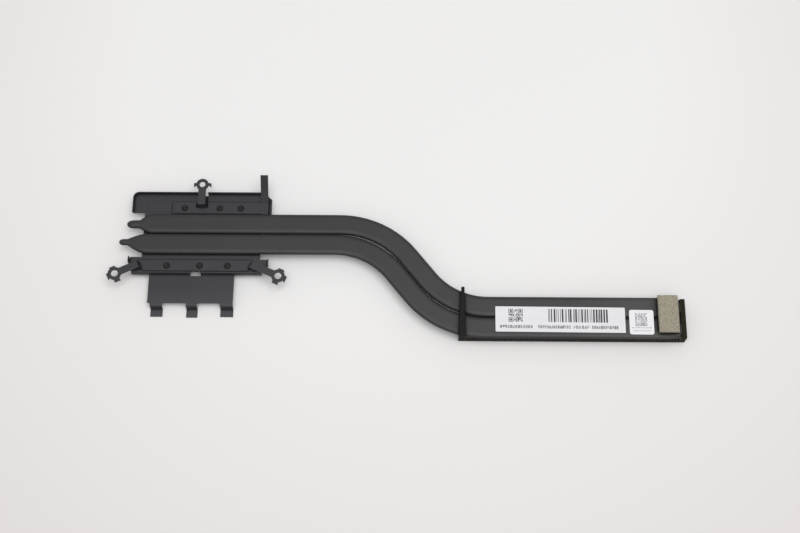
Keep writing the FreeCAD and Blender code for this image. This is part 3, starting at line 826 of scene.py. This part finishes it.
def add_main_label(materials):
    label = Label("main_label", MAIN_LABEL_CORNER)
    add_paper("main_label", label, materials["label_paper"])
    bm = bmesh.new()
    print_matrix(bm, label, MAIN_MATRIX_SPAN, MAIN_MATRIX_CELLS, MATRIX_SEED, corners=True)
    print_stripes(bm, label, STRIPES_SPAN, STRIPE_MODULES, STRIPE_SEED)
    for i, (span, count) in enumerate(MAIN_DASHES):
        print_dashes(bm, label, span, count, DASH_SEED + i)
    add_print("main_label", bm, materials["label_ink"])


def add_small_label(materials):
    label = Label("small_label", SMALL_LABEL_CORNER)
    add_paper("small_label", label, materials["pale_paper"])
    bm = bmesh.new()
    print_matrix(bm, label, SMALL_MATRIX_SPAN, SMALL_MATRIX_CELLS, SMALL_SEED, corners=False)
    for i, (span, count) in enumerate(SMALL_DASHES):
        print_dashes(bm, label, span, count, SMALL_SEED + 1 + i)
    add_print("small_label", bm, materials["faint_ink"])


# Soft pieces


def remeshed(node, voxel):
    """Even fine mesh of a node's solid."""
    source = bpy.data.objects.new("soft_source", nodes[node].data.copy())
    bpy.context.scene.collection.objects.link(source)
    weld = source.modifiers.new("weld", "WELD")
    weld.merge_threshold = WELD_REACH
    modifier = source.modifiers.new("remesh", "REMESH")
    modifier.mode = "VOXEL"
    modifier.voxel_size = voxel * MM
    graph = bpy.context.evaluated_depsgraph_get()
    mesh = bpy.data.meshes.new_from_object(source.evaluated_get(graph))
    bpy.data.objects.remove(source)
    return mesh


def roughen(mesh, depth, grain):
    """Presses the surface in by a fixed noise, so that it stays inside its solid."""
    offsets = []
    for vertex in mesh.vertices:
        spot = vertex.co / MM
        coarse = noise.noise(spot / (GRAIN_COARSE_SIZE * grain))
        fine = noise.noise(spot / grain)
        share = GRAIN_MEAN + GRAIN_COARSE_SHARE * coarse + GRAIN_FINE_SHARE * fine
        offsets.append(share * depth * MM)
    for vertex, offset in zip(mesh.vertices, offsets):
        vertex.co -= vertex.normal * offset
    for face in mesh.polygons:
        face.use_smooth = True


def add_soft_pieces(materials):
    for name, node, material, slot, voxel, depth, grain, fill in SOFT_PIECES:
        mesh = remeshed(node, voxel)
        mesh.name = name
        roughen(mesh, depth, grain)
        piece = add_piece(name, mesh, materials[material])
        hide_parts(node)


# Stage, light and camera


def add_floor():
    """Large pale floor at the part's lowest point, darker outwards as painted shade."""
    half = FLOOR_SIZE / 2
    low = cad_box[0][2]
    mesh = bpy.data.meshes.new("floor")
    corners = [(-half, -half, low), (half, -half, low), (half, half, low), (-half, half, low)]
    mesh.from_pydata(corners, [], [(0, 1, 2, 3)])
    floor = bpy.data.objects.new("floor", mesh)
    bpy.context.scene.collection.objects.link(floor)
    material, tree, shader = new_material("floor", roughness=0.9, specular=0.1)
    coordinates = tree.nodes.new("ShaderNodeTexCoord")
    distance = tree.nodes.new("ShaderNodeVectorMath")
    distance.operation = "DISTANCE"
    distance.inputs[1].default_value = (*FLOOR_MIDDLE, low)
    tree.links.new(coordinates.outputs["Object"], distance.inputs[0])
    # Painted shade: the floor darkens from its middle out to its reach
    share = map_range(tree, distance.outputs["Value"], 0.0, 1.0, 0.0, FLOOR_REACH)
    colour = ramp(tree, share, [(FLOOR_EVEN_SHARE, FLOOR_COLOUR), (1.0, FLOOR_FALLOFF_SHADE)])
    tree.links.new(colour, shader.inputs["Base Color"])
    mesh.materials.append(material)


def add_world():
    """Pale backdrop for what the camera, mirrors and glass see, and a weaker light elsewhere."""
    world = bpy.data.worlds.new("studio")
    bpy.context.scene.world = world
    world.use_nodes = True
    tree = world.node_tree
    background = tree.nodes["Background"]
    background.inputs["Color"].default_value = (*BACKGROUND_COLOUR, 1.0)
    path = tree.nodes.new("ShaderNodeLightPath")
    seen = path.outputs["Is Camera Ray"]
    for kind in ("Is Glossy Ray", "Is Transmission Ray"):
        seen = calculate(tree, "MAXIMUM", seen, path.outputs[kind])
    strength = map_range(tree, seen, WORLD_STRENGTH, 1.0)
    tree.links.new(strength, background.inputs["Strength"])


def aim_at(thing, target):
    direction = target - thing.location
    thing.rotation_euler = direction.to_track_quat("-Z", "Y").to_euler()


def add_softbox():
    light = bpy.data.lights.new("softbox", "AREA")
    light.shape = "RECTANGLE"
    light.size = SOFTBOX_LENGTH
    light.size_y = SOFTBOX_WIDTH
    light.energy = SOFTBOX_POWER
    lamp = bpy.data.objects.new("softbox", light)
    lamp.location = SOFTBOX_PLACE
    bpy.context.scene.collection.objects.link(lamp)
    aim_at(lamp, SOFTBOX_AIM)


def add_camera():
    data = bpy.data.cameras.new("camera")
    data.sensor_width = SENSOR_MM
    data.lens = FOCAL_PIXELS / IMAGE_WIDTH * SENSOR_MM
    data.clip_start = CLIP_START
    data.clip_end = CLIP_END
    camera = bpy.data.objects.new("camera", data)
    back = Vector((0.0, -math.sin(CAMERA_TILT), math.cos(CAMERA_TILT)))
    place = Matrix.Translation(CAMERA_AIM + back * CAMERA_DISTANCE)
    tilt = Matrix.Rotation(CAMERA_TILT, 4, "X")
    roll = Matrix.Rotation(CAMERA_ROLL, 4, "Z")
    camera.matrix_world = place @ tilt @ roll
    bpy.context.scene.collection.objects.link(camera)
    bpy.context.scene.camera = camera


bpy.context.scene.view_settings.view_transform = "Standard"
add_camera()
add_world()
add_softbox()
add_floor()
surfaces = make_materials()
dress_nodes(surfaces)
add_rivets(surfaces["black_rivet"])
add_main_label(surfaces)
add_small_label(surfaces)
add_soft_pieces(surfaces)
